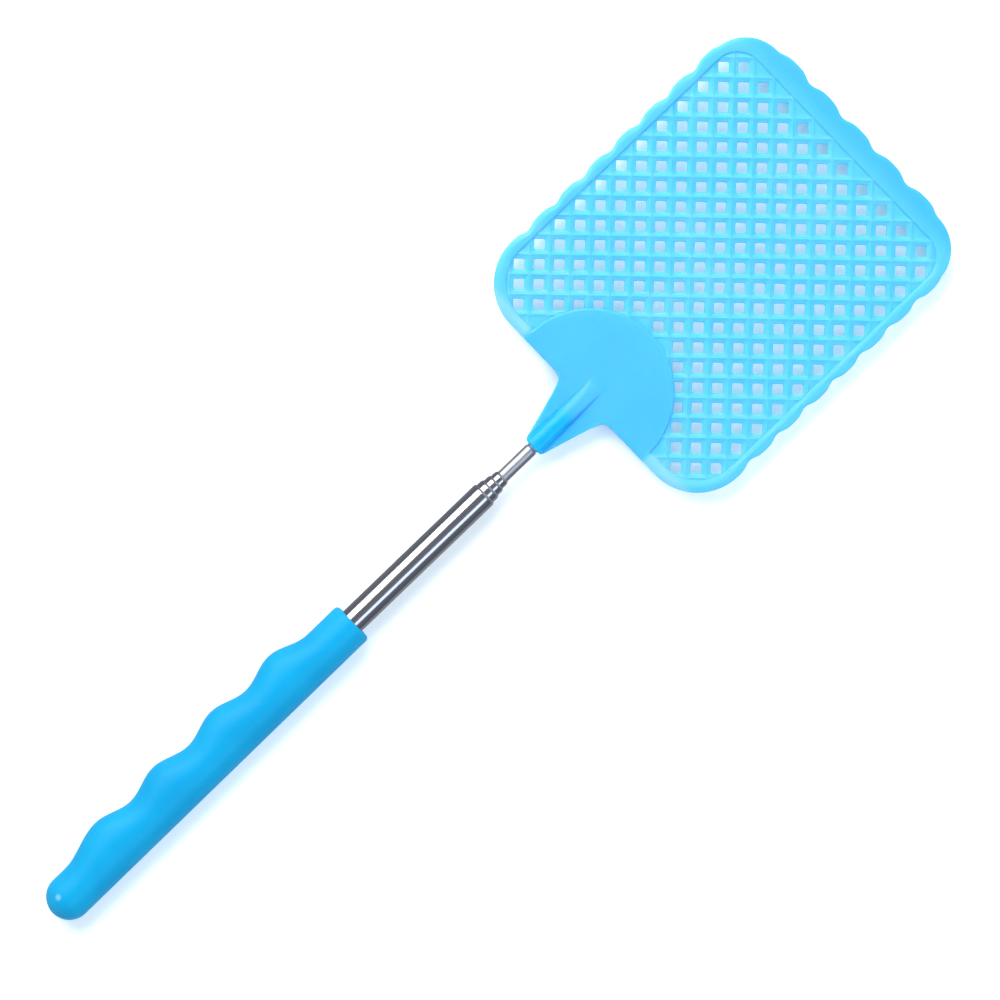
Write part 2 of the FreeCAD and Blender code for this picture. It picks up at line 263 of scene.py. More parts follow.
def tube_shell(order):
    """The tube of that order, 0 for the outer one, as one closed wall profile turned on the axis.

    The outside is the radius, plus the bead's squared sine, less the rolled mouth's drop times the
    share along it to the power 1.5. The inside is one wall thickness deeper, less an eased step
    that closes on the next tube. The tip tube isn't rolled: a small V groove rings it at the head.
    """
    low, high = tube_boxes[TUBES[order]]
    length, radius = high[0] - low[0], TUBE_RADIUS - order * RADIUS_STEP
    crimped, beaded = order < len(SECTIONS), order > 0
    groove_x = SOCKET_MOUTH - GROOVE_WIDTH / 2 - low[0]
    stations = [
        np.array([0.0, 0.3]),
        BEAD_START + np.linspace(0, BEAD_LENGTH, 11),
        np.linspace(15, length - 5, 12),
        groove_x + np.linspace(-0.5, 0.5, 5) * GROOVE_WIDTH if not crimped else [],
        length - CRIMP_START + np.linspace(0, CRIMP_START - ROLL_LENGTH, 9),
        length - ROLL_LENGTH * np.linspace(1, 0, 13),
    ]
    x = np.unique(np.concatenate(stations).round(5))
    outside = np.full(len(x), radius)
    if beaded:
        share = np.clip((x - BEAD_START) / BEAD_LENGTH, 0, 1)
        outside = outside + BEAD_RISE * np.sin(np.pi * share) ** 2
    inside = outside - WALL
    if crimped:
        inside = inside - CRIMP_DROP * ease((x - length + CRIMP_START) / CRIMP_RUN)
        outside = outside - ROLL_DROP * np.clip(1 - (length - x) / ROLL_LENGTH, 0, 1) ** 1.5
    else:
        outside = outside - GROOVE_DEPTH * np.clip(1 - np.abs(x - groove_x) / (GROOVE_WIDTH / 2), 0, 1)
        inside = np.minimum(inside, outside - WALL)
    profile = np.concatenate([np.stack([x, outside], 1), np.stack([x, inside], 1)[::-1]])
    points, faces = skin(lathe_rings(profile, AROUND_TUBE), loop=True)
    return points + [low[0], 0, AXIS_Z], faces


tubes = []
for order, node in enumerate(TUBES):
    tube = link_piece(f"polished_{node}", *tube_shell(order), sharp_deg=50.0)
    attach(tube, "grip" if order == 0 else f"{SECTIONS[order - 1]}_section")
    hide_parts(node)
    tubes.append(tube)
    print(f"{tube.name}: {len(tube.data.polygons)} faces")

# %% [markdown]
# ## The head's rim, patch and neck
# The head is a single flexible moulding: a scalloped rim, a solid patch beside the rod, a fan
# shaped neck and the mesh. The rim, patch and neck are one band between two outlines. Point by
# point, the outer outline is matched with the edge of the meshed window, and a rounded profile is
# carried across from one to the other. Only one half is drawn, because the other is its mirror.

# %% Outlines of the head
NECK_LENGTH, MOUTH_INSET = 20.3, 0.15
HEAD_X = SOCKET_MOUTH + NECK_LENGTH
NECK_X = SOCKET_MOUTH - HEAD_X + MOUTH_INSET
FAR_X = head_high[0] - HEAD_X
HALF_WIDTH = head_high[1]
PLATE_HALF, MESH_HALF = 1.2, 0.92
NEAR_CORNER, FAR_CORNER = 17.25, 13.0
NECK_MOUTH, NECK_ROOT = 3.25, 9.0
SIDE_NOTCH_X, SIDE_PITCH, SIDE_DEPTH, SIDE_LOBES = 22.9, 11.3, 1.1, 7
END_PITCH, END_DEPTH = 13.6, 1.4
RIM, FAR_RIM, WINDOW_CORNER = 3.8, 7.8, 8.0
PATCH_X, PATCH_RADIUS = 2.9, 25.0
SIDE_END_X = SIDE_NOTCH_X + SIDE_LOBES * SIDE_PITCH
END_START_Y = 2.5 * END_PITCH
NOTCH_SHARPNESS = 2.2
NECK_FILLET, FILLET_PASSES = 3.5, 8
# How many points each stretch takes. Both outlines take the same numbers, so their points pair up.
MOUTH_POINTS, NECK_POINTS, ROOT_POINTS, NEAR_POINTS = 7, 42, 32, 18
NEAR_TURN_POINTS, SIDE_POINTS, FAR_TURN_POINTS, END_POINTS = 44, 190, 36, 72


def line(start, end, count):
    """Evenly spaced points from start up to, but not including, the end."""
    share = np.linspace(0, 1, count, endpoint=False)[:, None]
    return np.array(start) * (1 - share) + np.array(end) * share


def bow(start, end, radius, count):
    """Points on the arc of that radius from start to end, bulging to the right of the way."""
    start, end = np.array(start, float), np.array(end, float)
    half = (end - start) / 2
    reach = np.hypot(*half)
    left = np.array([-half[1], half[0]]) / reach
    centre = start + half + left * math.sqrt(radius**2 - reach**2)
    first, last = (np.arctan2(*(p - centre)[::-1]) for p in (start, end))
    turn = first + ((last - first) % (2 * np.pi)) * np.linspace(0, 1, count, endpoint=False)
    return centre + radius * np.stack([np.cos(turn), np.sin(turn)], 1)


def notch(along, pitch):
    """1 in a notch, at each whole number of pitches along, and 0 on a lobe's crest.

    It is half of one plus a cosine, raised to a power that makes the notches narrow.
    """
    return ((1 + np.cos(2 * np.pi * along / pitch)) / 2) ** NOTCH_SHARPNESS


def soften(points):
    """Rounds a closed outline: each point moves to a bell-weighted mean of its neighbours."""
    weights = {0: 0.30, 1: 0.22, 2: 0.10, 3: 0.03}
    return sum(
        weight * (points if step == 0 else np.roll(points, step, 0) + np.roll(points, -step, 0))
        for step, weight in weights.items()
    )


def fillet(points, corner, reach):
    """Softens again and again round one corner and its mirror, fading out over the reach."""
    near = np.hypot(points[:, 0] - corner[0], np.abs(points[:, 1]) - abs(corner[1]))
    weight = np.exp(-((near / reach) ** 2))[:, None]
    for _ in range(FILLET_PASSES):
        points = points + weight * (soften(points) - points)
    return points


def half_outer():
    """The outer outline from the middle of the neck's mouth, round the -Y side, to the far end's middle.

    The sides are straight lines less the notch wave, and so is the far end. Arcs turn the corners.
    """
    side_x = np.linspace(NEAR_CORNER, SIDE_END_X, SIDE_POINTS, endpoint=False)
    side_notch = notch(side_x - SIDE_NOTCH_X, SIDE_PITCH) * (side_x > SIDE_NOTCH_X - SIDE_PITCH / 2)
    side = np.stack([side_x, SIDE_DEPTH * side_notch - HALF_WIDTH], 1)
    end_y = np.linspace(-END_START_Y, 0, END_POINTS, endpoint=False)
    end = np.stack([FAR_X - END_DEPTH * notch(end_y + END_START_Y, END_PITCH), end_y], 1)
    near_y = NEAR_CORNER - HALF_WIDTH
    side_end, far_start = (SIDE_END_X, SIDE_DEPTH - HALF_WIDTH), (FAR_X - END_DEPTH, -END_START_Y)
    return [
        line((NECK_X, 0), (NECK_X, -NECK_MOUTH), MOUTH_POINTS),
        line((NECK_X, -NECK_MOUTH), (0, -NECK_ROOT), NECK_POINTS),
        line((0, -NECK_ROOT), (0, -PATCH_RADIUS), ROOT_POINTS),
        line((0, -PATCH_RADIUS), (0, near_y), NEAR_POINTS),
        bow((0, near_y), (NEAR_CORNER, -HALF_WIDTH), NEAR_CORNER, NEAR_TURN_POINTS),
        side,
        bow(side_end, far_start, FAR_CORNER, FAR_TURN_POINTS),
        end,
    ]


def half_window():
    """The window's edge, piece for piece beside the outer outline: the patch's arc, then the rim."""
    near_y, side_y = NEAR_CORNER - HALF_WIDTH, RIM - HALF_WIDTH
    far_x = FAR_X - FAR_RIM
    turn = -np.linspace(0, np.pi / 2, MOUTH_POINTS + NECK_POINTS + ROOT_POINTS, endpoint=False)
    bite = np.stack([PATCH_X + PATCH_RADIUS * np.cos(turn), PATCH_RADIUS * np.sin(turn)], 1)
    turn_start, turn_end = (far_x - WINDOW_CORNER, side_y), (far_x, side_y + WINDOW_CORNER)
    return [
        bite,
        line((RIM, -PATCH_RADIUS), (RIM, near_y), NEAR_POINTS),
        bow((RIM, near_y), (NEAR_CORNER, side_y), NEAR_CORNER - RIM, NEAR_TURN_POINTS),
        line((NEAR_CORNER, side_y), turn_start, SIDE_POINTS),
        bow(turn_start, turn_end, WINDOW_CORNER, FAR_TURN_POINTS),
        line(turn_end, (far_x, 0), END_POINTS),
    ]


def whole(pieces, far_x):
    """Joins the pieces of one half, adds the far end's middle point, and mirrors them in the rod."""
    half = np.concatenate(pieces + [np.array([[far_x, 0.0]])])
    return np.concatenate([half, half[-2:0:-1] * [1, -1]])


outer_edge = fillet(soften(whole(half_outer(), FAR_X)), (0, NECK_ROOT), NECK_FILLET)
window_edge = soften(whole(half_window(), FAR_X - FAR_RIM))
across = window_edge - outer_edge
band_width = np.hypot(*across.T)[:, None]
across = across / band_width
print(f"head outline: {len(outer_edge)} points")
print(f"band {band_width.min():.2f} to {band_width.max():.1f} mm wide")

# %% Rim, patch and neck shell
OUTER_ROUND, INNER_ROUND = 0.75, 0.9
RIM_CROWN = 0.22
NARROW_BAND = 10.0
FLAT_BAND = 1.3 * NARROW_BAND


def band_shell():
    """The band between the outlines, as a closed profile carried round them.

    The top goes from the outer edge, up a quarter circle, over a slight crown where the band is
    narrow, and down a quarter circle to the window. The crown is a parabola, which fades to
    nothing where the band is as wide as the flat patch. The underside is the top's mirror.
    """
    turn = np.linspace(0, np.pi / 2, 6)
    outer_in, outer_up = OUTER_ROUND * (1 - np.cos(turn)), OUTER_ROUND * (np.sin(turn) - 1)
    inner_in, inner_up = INNER_ROUND * (1 - np.cos(turn)), INNER_ROUND * (np.sin(turn) - 1)
    share = np.linspace(0, 1, 9)[1:-1]
    flat = OUTER_ROUND + (band_width - OUTER_ROUND - INNER_ROUND) * share
    crown = RIM_CROWN * np.clip((FLAT_BAND - band_width) / NARROW_BAND, 0, 1)
    parabola = 4 * share * (1 - share)
    each = (len(band_width), 1)
    in_from_edge = np.hstack([np.tile(outer_in, each), flat, (band_width - inner_in)[:, ::-1]])
    rise = np.hstack([np.tile(outer_up, each), parabola * crown, np.tile(inner_up[::-1], each)])
    height = PLATE_HALF + rise
    place = outer_edge[:, None] + across[:, None] * in_from_edge[..., None]
    top = np.concatenate([place, height[..., None]], axis=-1)
    under = top[:, ::-1] * [1, 1, -1]
    points, faces = skin(np.concatenate([top, under], axis=1), loop=True)
    return points + [HEAD_X, 0, AXIS_Z], faces


head = link_piece("moulded_head", *band_shell())
print(f"rim, patch and neck: {len(head.data.polygons)} faces")

# %% [markdown]
# ## The mesh
# Two sets of bars cross at 45 degrees to the rod and leave square holes. Along each bar runs a
# low ridge. On a grid turned by 45 degrees this is simple: every grid line is at a fixed place in
# the repeat, the height of a point is the higher of its two bars' profiles, and the cells in the
# middle of each repeat are left out. The walls of each hole slope in from the top and from the
# underside to a narrow waist, as they do on a moulding that has to leave its mould. A hole that
# the rim or the patch would cut in two is left closed. The sheet is then cut to the window, a
# little oversize, so that its edge is buried in the rim, and the pieces are joined into one solid.

# %% Mesh sheet
HOLE_PITCH, HOLE_SIDE = 5.9, 3.1
LATTICE_X = 55.9
CHAMFER, HOLE_CORNER = 0.3, 0.45
RIDGE_HALF = 0.34
SHOULDER, RIDGE_FOOT = 0.56, 0.62
WALL_TOP = 0.15
CORNER_PULL = 0.93
BURIED = 1.4
CUT_ROOM = 0.4


def mesh_sheet():
    """The ridged, holed sheet over whole repeats that come near the window.

    u and v are the two directions of the bars. In a repeat, the grid lines are at its edges, which
    are the bars' middles, at each ridge's foot, at the hole's edges and near the hole's corners.
    The corners are pulled a little towards the hole's middle, which blunts them.
    """
    half = HOLE_SIDE / 2 + CHAMFER
    middle = HOLE_PITCH / 2
    foot, blunt = middle - RIDGE_HALF, half - HOLE_CORNER
    lines = np.array([-middle, -foot, -half, -blunt, blunt, half, foot])
    heights = np.array([MESH_HALF, RIDGE_FOOT, SHOULDER, SHOULDER, SHOULDER, SHOULDER, RIDGE_FOOT])
    reach = math.ceil((FAR_X / 2 + HALF_WIDTH) / math.sqrt(2) / HOLE_PITCH) + 1
    repeats = np.arange(-reach, reach + 1)
    last = repeats[-1] * HOLE_PITCH
    line_at = np.append((repeats[:, None] * HOLE_PITCH + lines).ravel(), last + middle)
    centre_at = np.append(np.repeat(repeats * HOLE_PITCH, len(lines)), last)
    height_at = np.append(np.tile(heights, len(repeats)), MESH_HALF)
    u, v = np.meshgrid(line_at, line_at, indexing="ij")
    centre_u, centre_v = np.meshgrid(centre_at, centre_at, indexing="ij")
    top = np.maximum(height_at[:, None], height_at[None, :])
    from_u, from_v = u - centre_u, v - centre_v
    corner = np.isclose(np.abs(from_u), half) & np.isclose(np.abs(from_v), half)
    on_hole = np.maximum(np.abs(from_u), np.abs(from_v)) < half + 0.01
    pull = np.where(corner, CORNER_PULL, 1.0)
    narrow = np.where(on_hole, 1 - CHAMFER / half, 1.0)
    layers = []
    for shrink, z in ((pull, top), (pull * narrow, WALL_TOP), (pull * narrow, -WALL_TOP), (pull, -top)):
        at_u, at_v = centre_u + from_u * shrink, centre_v + from_v * shrink
        x, y = (at_u - at_v) / math.sqrt(2) + LATTICE_X, (at_u + at_v) / math.sqrt(2)
        layers.append(np.stack([x, y, np.broadcast_to(z, x.shape)], axis=-1))
    return np.stack(layers), kept_cells(line_at, half)


def room_inside(x, y):
    """How far a place stands inside the window: less than 0 under the rim or the patch.

    The window is a rectangle with rounded corners. Past a corner's centre both ways, the distance
    is counted from that centre, and elsewhere from the nearest side.
    """
    corner = np.where(x > FAR_X / 2, WINDOW_CORNER, NEAR_CORNER - RIM)
    far_x = FAR_X - FAR_RIM
    past_x = np.abs(x - (far_x + RIM) / 2) - (far_x - RIM) / 2 + corner
    past_y = np.abs(y) - (HALF_WIDTH - RIM) + corner
    round_corner = np.hypot(np.maximum(past_x, 0), np.maximum(past_y, 0))
    outside = round_corner + np.minimum(np.maximum(past_x, past_y), 0)
    return np.minimum(corner - outside, np.hypot(x - PATCH_X, y) - PATCH_RADIUS)


def kept_cells(line_at, half):
    """Which grid cells are plastic, in the repeats whose middle is near the window.

    The holes are open, except those that the rim or the patch would cut in two: those are closed.
    """
    cell_at = (line_at[:-1] + line_at[1:]) / 2
    repeat = np.round(cell_at / HOLE_PITCH) * HOLE_PITCH
    in_hole = np.abs(cell_at - repeat) < half
    middle_u, middle_v = np.meshgrid(repeat, repeat, indexing="ij")
    x, y = (middle_u - middle_v) / math.sqrt(2) + LATTICE_X, (middle_u + middle_v) / math.sqrt(2)
    room = room_inside(x, y)
    is_open = in_hole[:, None] & in_hole[None, :] & (room > CUT_ROOM)
    return (room > -HOLE_PITCH) & ~is_open


def sheet_faces(kept, layer_size):
    """Faces of the kept cells on the top and underside, and walls where a kept cell has no neighbour."""
    rows, columns = kept.shape[0] + 1, kept.shape[1] + 1
    index = np.arange(rows * columns).reshape(rows, columns)
    quad = np.stack([index[:-1, :-1], index[1:, :-1], index[1:, 1:], index[:-1, 1:]], axis=-1)[kept]
    faces = [quad, quad[:, ::-1] + 3 * layer_size]
    padded = np.pad(kept, 1)
    for side in range(2):
        grid, cells = (index, padded) if side == 0 else (index.T, padded.T)
        inner = cells[:, 1:-1]
        for present, absent in ((inner[:-1], inner[1:]), (inner[1:], inner[:-1])):
            at = np.argwhere(present & ~absent)
            pair = np.stack([grid[at[:, 0], at[:, 1]], grid[at[:, 0], at[:, 1] + 1]], axis=-1)
            for layer in range(3):
                low, high = pair + layer * layer_size, pair[:, ::-1] + (layer + 1) * layer_size
                faces.append(np.concatenate([low, high], axis=1))
    return np.concatenate(faces)


def compact(points, faces):
    """Drops the points that no face uses, and renumbers the faces."""
    used, renumbered = np.unique(faces, return_inverse=True)
    return points[used], renumbered.reshape(faces.shape)


layers, kept = mesh_sheet()
sheet_quads = sheet_faces(kept, layers[0].size // 3)
sheet_points, sheet_quads = compact(layers.reshape(-1, 3), sheet_quads)
sheet = link_piece("mesh_sheet", sheet_points + [HEAD_X, 0, AXIS_Z], sheet_quads)
print(f"mesh sheet: {len(sheet.data.polygons)} faces")

# %% [markdown]
# ## The socket boss
# The tip tube ends in a socket in the neck. The plastic stands over it in a rounded boss on both
# faces, which keeps nearly the same width and sinks into the patch ahead of the tube's end. Each
# section across it is an arch on either face: a half oval on a short straight side.

# %% Socket boss and bore
BOSS_MOUTH_HALF, BOSS_END_HALF = 3.12, 2.6
BOSS_HEIGHT = 3.22
BOSS_FOOT = 1.0
BOSS_END_X = 6.6
BOSS_ROUND = 0.55
SINK_START, SINK_SHARPNESS = 0.45, 2.6
SOCKET_DEPTH = 14.0
SOCKET_CLEARANCE = 0.04
COUNTERSINK = 0.4
TIP_RADIUS = TUBE_RADIUS - len(SECTIONS) * RADIUS_STEP


def boss_shell():
    """Sections of two arches, which sink into the patch from part way along the socket.

    y is the half width times the cosine of the angle, and z is the foot's height plus the arch's
    rise times the sine, mirrored below. The rise is its full height less a power of the way along.
    """
    lip = np.radians(np.linspace(0, 90, 6))
    start = SOCKET_MOUTH - HEAD_X
    straight = np.linspace(start + BOSS_ROUND, BOSS_END_X, 40)[1:]
    x = np.concatenate([start + BOSS_ROUND * (1 - np.cos(lip)), straight])
    inset = np.zeros(len(x))
    inset[: len(lip)] = BOSS_ROUND * (1 - np.sin(lip))
    along = (x - start) / (BOSS_END_X - start)
    half_width = BOSS_MOUTH_HALF + (BOSS_END_HALF - BOSS_MOUTH_HALF) * along - inset
    level = SINK_START * SOCKET_DEPTH
    sink = np.clip((x - start - level) / (BOSS_END_X - start - level), 0, 1)
    rise = (BOSS_HEIGHT - BOSS_FOOT) * (1 - sink**SINK_SHARPNESS) - inset
    arch = np.linspace(0, np.pi, 25)
    y = half_width[:, None] * np.cos(arch)
    z = BOSS_FOOT + rise[:, None] * np.sin(arch)
    along_x = np.broadcast_to(x[:, None], y.shape)
    rings = np.concatenate([np.stack([along_x, y, z], -1), np.stack([along_x, -y, -z], -1)], axis=1)
    poles = [start, 0.0, 0.0], [BOSS_END_X, 0.0, 0.0]
    points, faces = skin(rings, *poles)
    return points + [HEAD_X, 0, AXIS_Z], faces


def bore_shell():
    """The socket: a cylinder for the tip tube with a countersink at its mouth."""
    start, radius = SOCKET_MOUTH, TIP_RADIUS + SOCKET_CLEARANCE
    profile = [
        (start - 1, radius + COUNTERSINK + 1),
        (start + COUNTERSINK, radius),
        (start + SOCKET_DEPTH, radius),
    ]
    poles = [start - 1, 0.0, 0.0], [start + SOCKET_DEPTH, 0.0, 0.0]
    points, faces = skin(lathe_rings(np.array(profile), AROUND_TUBE), *poles)
    return points + [0, 0, AXIS_Z], faces


def window_prism():
    """A plate over the window, grown into the rim, that trims the mesh sheet."""
    edge = window_edge - across * BURIED
    rings = np.stack([np.column_stack([edge, np.full(len(edge), z)]) for z in (-2.0, 2.0)])
    points, faces = skin(rings)
    around = len(edge)
    faces += [list(range(around)), list(range(around, 2 * around))]
    return points + [HEAD_X, 0, AXIS_Z], faces


def combine(piece, tool, operation):
    """Joins, trims or cuts a closed piece with another closed one, which is then removed."""
    step = piece.modifiers.new(operation.lower(), "BOOLEAN")
    step.object, step.operation, step.solver = tool, operation, "MANIFOLD"
    bpy.context.view_layer.update()
    result = piece.evaluated_get(bpy.context.evaluated_depsgraph_get())
    mesh = bpy.data.meshes.new_from_object(result)
    piece.modifiers.clear()
    piece.data = mesh
    bpy.data.objects.remove(tool)
    print(f"{operation.lower()}: {len(mesh.polygons)} faces")


combine(sheet, link_piece("window_prism", *window_prism()), "INTERSECT")
combine(head, sheet, "UNION")
combine(head, link_piece("socket_boss", *boss_shell()), "UNION")
combine(head, link_piece("socket_bore", *bore_shell()), "DIFFERENCE")
smooth(head.data, 48.0)
head.data.name = "moulded_head"
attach(head, "tip_section")
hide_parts("swatter_head")

# %% [markdown]
# ## Wall thickness and painted shade as an attribute
# Translucent plastic looks deeper where it is thick, because light travels further in it. How deep the
# colour is, is worked out from where a point is and stored on the mesh: 0 on the pale near rim, 0.2 on
# the bars, about half on the patch, about half over the far rim, which is painted deeper by its place
# alone, and 1 over the socket, which is painted shade where the tube blocks the light.

# %% Thickness and painted shade attribute
BAR_DEPTH, FAR_DEPTH, PATCH_DEPTH, NECK_DEPTH = 0.2, 0.35, 0.31, 0.2
EDGE_FADE, NECK_FADE, SOCKET_FADE, BOSS_FADE = 3.0, 20.0, 6.0, 1.2
SOCKET_SPREAD, BOSS_SPREAD = 2.5, 0.3
NECK_START, FAR_LEAD, FAR_STEEPNESS = 2.0, 1.0, 1.2


def store_thickness_and_shade(piece):
    """Writes an attribute from 0, pale, to 1, deep, at each point of the head: thicker parts are deeper,
    and so is painted shade.

    Each part's depth is added, faded in over a few millimetres, and the socket brings it to 1 as painted
    shade.
    """
    mesh = piece.data
    points = np.empty(len(mesh.vertices) * 3)
    mesh.vertices.foreach_get("co", points)
    x, y, _ = points.reshape(-1, 3).T / MM - np.array([[HEAD_X], [0], [AXIS_Z]])
    # The far rim is no thicker than the side rims: it is painted deeper blue by its place alone.
    far = ease((x - FAR_X + FAR_RIM + FAR_LEAD) / FAR_RIM * FAR_STEEPNESS)
    patch = ease((PATCH_RADIUS + EDGE_FADE / 2 - np.hypot(x - PATCH_X, y)) / EDGE_FADE)
    # Painted shade: over the socket the colour goes to its deepest, where the steel tube inside blocks
    # the light.
    socket = ease((SOCKET_DEPTH + NECK_X + SOCKET_SPREAD - x) / SOCKET_FADE)
    socket = socket * ease((BOSS_MOUTH_HALF + BOSS_SPREAD - np.abs(y)) / BOSS_FADE)
    neck = ease((NECK_START - x) / NECK_FADE) * NECK_DEPTH
    pale = ease((RIM + EDGE_FADE / 2 - x) / EDGE_FADE) * (1 - patch)
    depth = BAR_DEPTH * (1 - pale) + FAR_DEPTH * far + PATCH_DEPTH * patch + neck
    depth = depth + (1 - depth) * socket
    # The thickness attribute also holds the painted shade over the socket and the deeper far rim.
    layer = mesh.attributes.new("thickness", "FLOAT", "POINT")
    layer.data.foreach_set("value", np.clip(depth, 0, 1).astype(np.float32))
    print(f"thickness from {depth.min():.2f} to {depth.max():.2f}")


store_thickness_and_shade(head)

# %% [markdown]
# ## Material tools
# Colours are written as the sRGB values that a designer would quote, and one function turns them
# into the linear light that the renderer works in. Another adds a node with its settings and its
# links in one call.

# %% Material tools


def linear(code):
    """The linear colour of an sRGB hex code."""
    parts = np.array([int(code[at : at + 2], 16) for at in (1, 3, 5)]) / 255
    light = np.where(parts <= 0.04045, parts / 12.92, ((parts + 0.055) / 1.055) ** 2.4)
    return (*light.tolist(), 1.0)


def add_node(tree, kind, links=None, values=None, **settings):
    """Adds a node with its settings.

    Links maps an input's name to (node, output name), and values sets the inputs that stay constant.
    """
    node = tree.nodes.new(kind)
    for name, value in settings.items():
        setattr(node, name, value)
    for name, value in (values or {}).items():
        node.inputs[name].default_value = value
    for name, (source, output) in (links or {}).items():
        tree.links.new(source.outputs[output], node.inputs[name])
    return node


def new_material(name):
    """An empty material, its node tree, and a node that gives Object coordinates."""
    material = bpy.data.materials.new(name)
    material.use_nodes = True
    material.node_tree.nodes.clear()
    return material, material.node_tree, add_node(material.node_tree, "ShaderNodeTexCoord")


def per_mm(size):
    """The texture scale at which a pattern repeats every size millimetres."""
    return 1 / (size * MM)


def finish_with(tree, shader):
    """Joins the shader to the material's output."""
    add_node(tree, "ShaderNodeOutputMaterial", {"Surface": (shader, "BSDF")})


print("material tools ready")

# %% [markdown]
# ## Grip plastic
# The grip is polypropylene, injected into a mould with a fine blasted finish. That gives a satin
# surface: soft, wide highlights, a barely visible grain, and a colour that is a shade uneven where
# the melt flowed. A little light goes into the plastic and comes back out.

# %% Grip plastic


def satin_polypropylene():
    """Satin moulded polypropylene: blasted grain, slow colour drift, low subsurface, and a pale painted
    highlight over the gate's dimple.
    """
    material, tree, place = new_material("satin_moulded_polypropylene")
    flow = add_node(
        tree,
        "ShaderNodeTexNoise",
        {"Vector": (place, "Object")},
        {"Scale": per_mm(18), "Detail": 2.0},
    )
    tone = add_node(tree, "ShaderNodeValToRGB", {"Fac": (flow, "Fac")})
    tone.color_ramp.elements[0].position, tone.color_ramp.elements[1].position = 0.35, 0.65
    tone.color_ramp.elements[0].color = linear("#0895C8")
    tone.color_ramp.elements[1].color = linear("#0A9CCE")
    # A pale spot is painted over the gate's dimple: a painted highlight in place of the dimple's
    # reflection.
    gate_highlight_at = (grip_low[0] + GATE_X, GATE_Y, grip_high[2] - 0.6)
    away = add_node(
        tree,
        "ShaderNodeVectorMath",
        {0: (place, "Object")},
        {1: [part * MM for part in gate_highlight_at]},
        operation="DISTANCE",
    )
    gate_highlight = add_node(
        tree,
        "ShaderNodeMapRange",
        {"Value": (away, "Value")},
        {
            "From Min": 0.5 * GATE_RADIUS * MM,
            "From Max": 1.5 * GATE_RADIUS * MM,
            "To Min": 0.5,
            "To Max": 0.0,
        },
    )
    tone = add_node(
        tree,
        "ShaderNodeMix",
        {"Factor": (gate_highlight, "Result"), 6: (tone, "Color")},
        {7: linear("#A9CCDC")},
        data_type="RGBA",
    )
    grain = add_node(
        tree,
        "ShaderNodeTexNoise",
        {"Vector": (place, "Object")},
        {"Scale": per_mm(0.35), "Detail": 3.0},
    )
    matt = add_node(
        tree,
        "ShaderNodeMapRange",
        {"Value": (grain, "Fac")},
        {"From Min": 0.3, "From Max": 0.7, "To Min": 0.36, "To Max": 0.46},
    )
    bump = add_node(
        tree,
        "ShaderNodeBump",
        {"Height": (grain, "Fac")},
        {"Strength": 0.25, "Distance": 0.02 * MM},
    )
    shader = add_node(
        tree,
        "ShaderNodeBsdfPrincipled",
        {"Base Color": (tone, 2), "Roughness": (matt, "Result"), "Normal": (bump, "Normal")},
        {
            "IOR": 1.49,
            "Specular IOR Level": 0.18,
            "Subsurface Weight": 0.15,
            "Subsurface Scale": 1.0 * MM,
            "Subsurface Radius": (0.3, 0.8, 1.0),
        },
    )
    finish_with(tree, shader)
    return material


grip.data.materials.append(satin_polypropylene())
print("grip finished")

# %% [markdown]
# ## Head plastic
# The head is soft polyethylene, which is milky and translucent in thin walls. Light enters the
# bars, scatters and comes out paler, while the thick parts look deeper; the colour is also painted
# deeper over the far rim, and painted darker over the socket as the shade of the tube inside. The
# mould was smooth, so the surface is a little glossier than the grip's, with faint flow waviness.

# %% Head plastic


def milky_polyethylene():
    """Translucent moulded polyethylene, whose colour deepens with the thickness attribute, which also
    holds painted shade over the socket.
    """
    material, tree, place = new_material("milky_moulded_polyethylene")
    depth = add_node(tree, "ShaderNodeAttribute", attribute_name="thickness")
    flow = add_node(
        tree,
        "ShaderNodeTexNoise",
        {"Vector": (place, "Object")},
        {"Scale": per_mm(14), "Detail": 2.0},
    )
    drift = add_node(
        tree,
        "ShaderNodeMapRange",
        {"Value": (flow, "Fac")},
        {"From Min": 0.3, "From Max": 0.7, "To Min": -0.05, "To Max": 0.05},
    )
    shade = add_node(tree, "ShaderNodeMath", {0: (depth, "Fac"), 1: (drift, "Result")}, operation="ADD")
    tone = add_node(tree, "ShaderNodeValToRGB", {"Fac": (shade, "Value")})
    ramp = tone.color_ramp
    ramp.elements[0].color, ramp.elements[1].color = linear("#80C4E0"), linear("#00AAF0")
    ramp.elements.new(0.2).color = linear("#58BDDE")
    ramp.elements.new(0.55).color = linear("#47B0EA")
    ripple = add_node(
        tree,
        "ShaderNodeTexNoise",
        {"Vector": (place, "Object")},
        {"Scale": per_mm(2.2), "Detail": 2.0},
    )
    bump = add_node(
        tree,
        "ShaderNodeBump",
        {"Height": (ripple, "Fac")},
        {"Strength": 0.3, "Distance": 0.05 * MM},
    )
    gloss = add_node(
        tree,
        "ShaderNodeMapRange",
        {"Value": (ripple, "Fac")},
        {"From Min": 0.3, "From Max": 0.7, "To Min": 0.3, "To Max": 0.4},
    )
    shader = add_node(
        tree,
        "ShaderNodeBsdfPrincipled",
        {"Base Color": (tone, "Color"), "Roughness": (gloss, "Result"), "Normal": (bump, "Normal")},
        {
            "IOR": 1.51,
            "Specular IOR Level": 0.4,
            "Subsurface Weight": 0.8,
            "Subsurface Scale": 3.0 * MM,
            "Subsurface Radius": (0.25, 0.8, 1.0),
        },
    )
    finish_with(tree, shader)
    return material


head.data.materials.clear()
head.data.materials.append(milky_polyethylene())
print("head finished")

# %% [markdown]
# ## Polished stainless steel
# The tubes are drawn from type 304 stainless steel and buffed lengthwise. They mirror the room,
# a little blurred, and fine lines left by the die run along them. The lines are drawn 0.12 mm
# wide, coarser than real ones, so that they show at all. The tip tube is duller than the others:
# it mirrors only broad patches of light, as steel does when it has been rubbed and not buffed.

# %% Steel


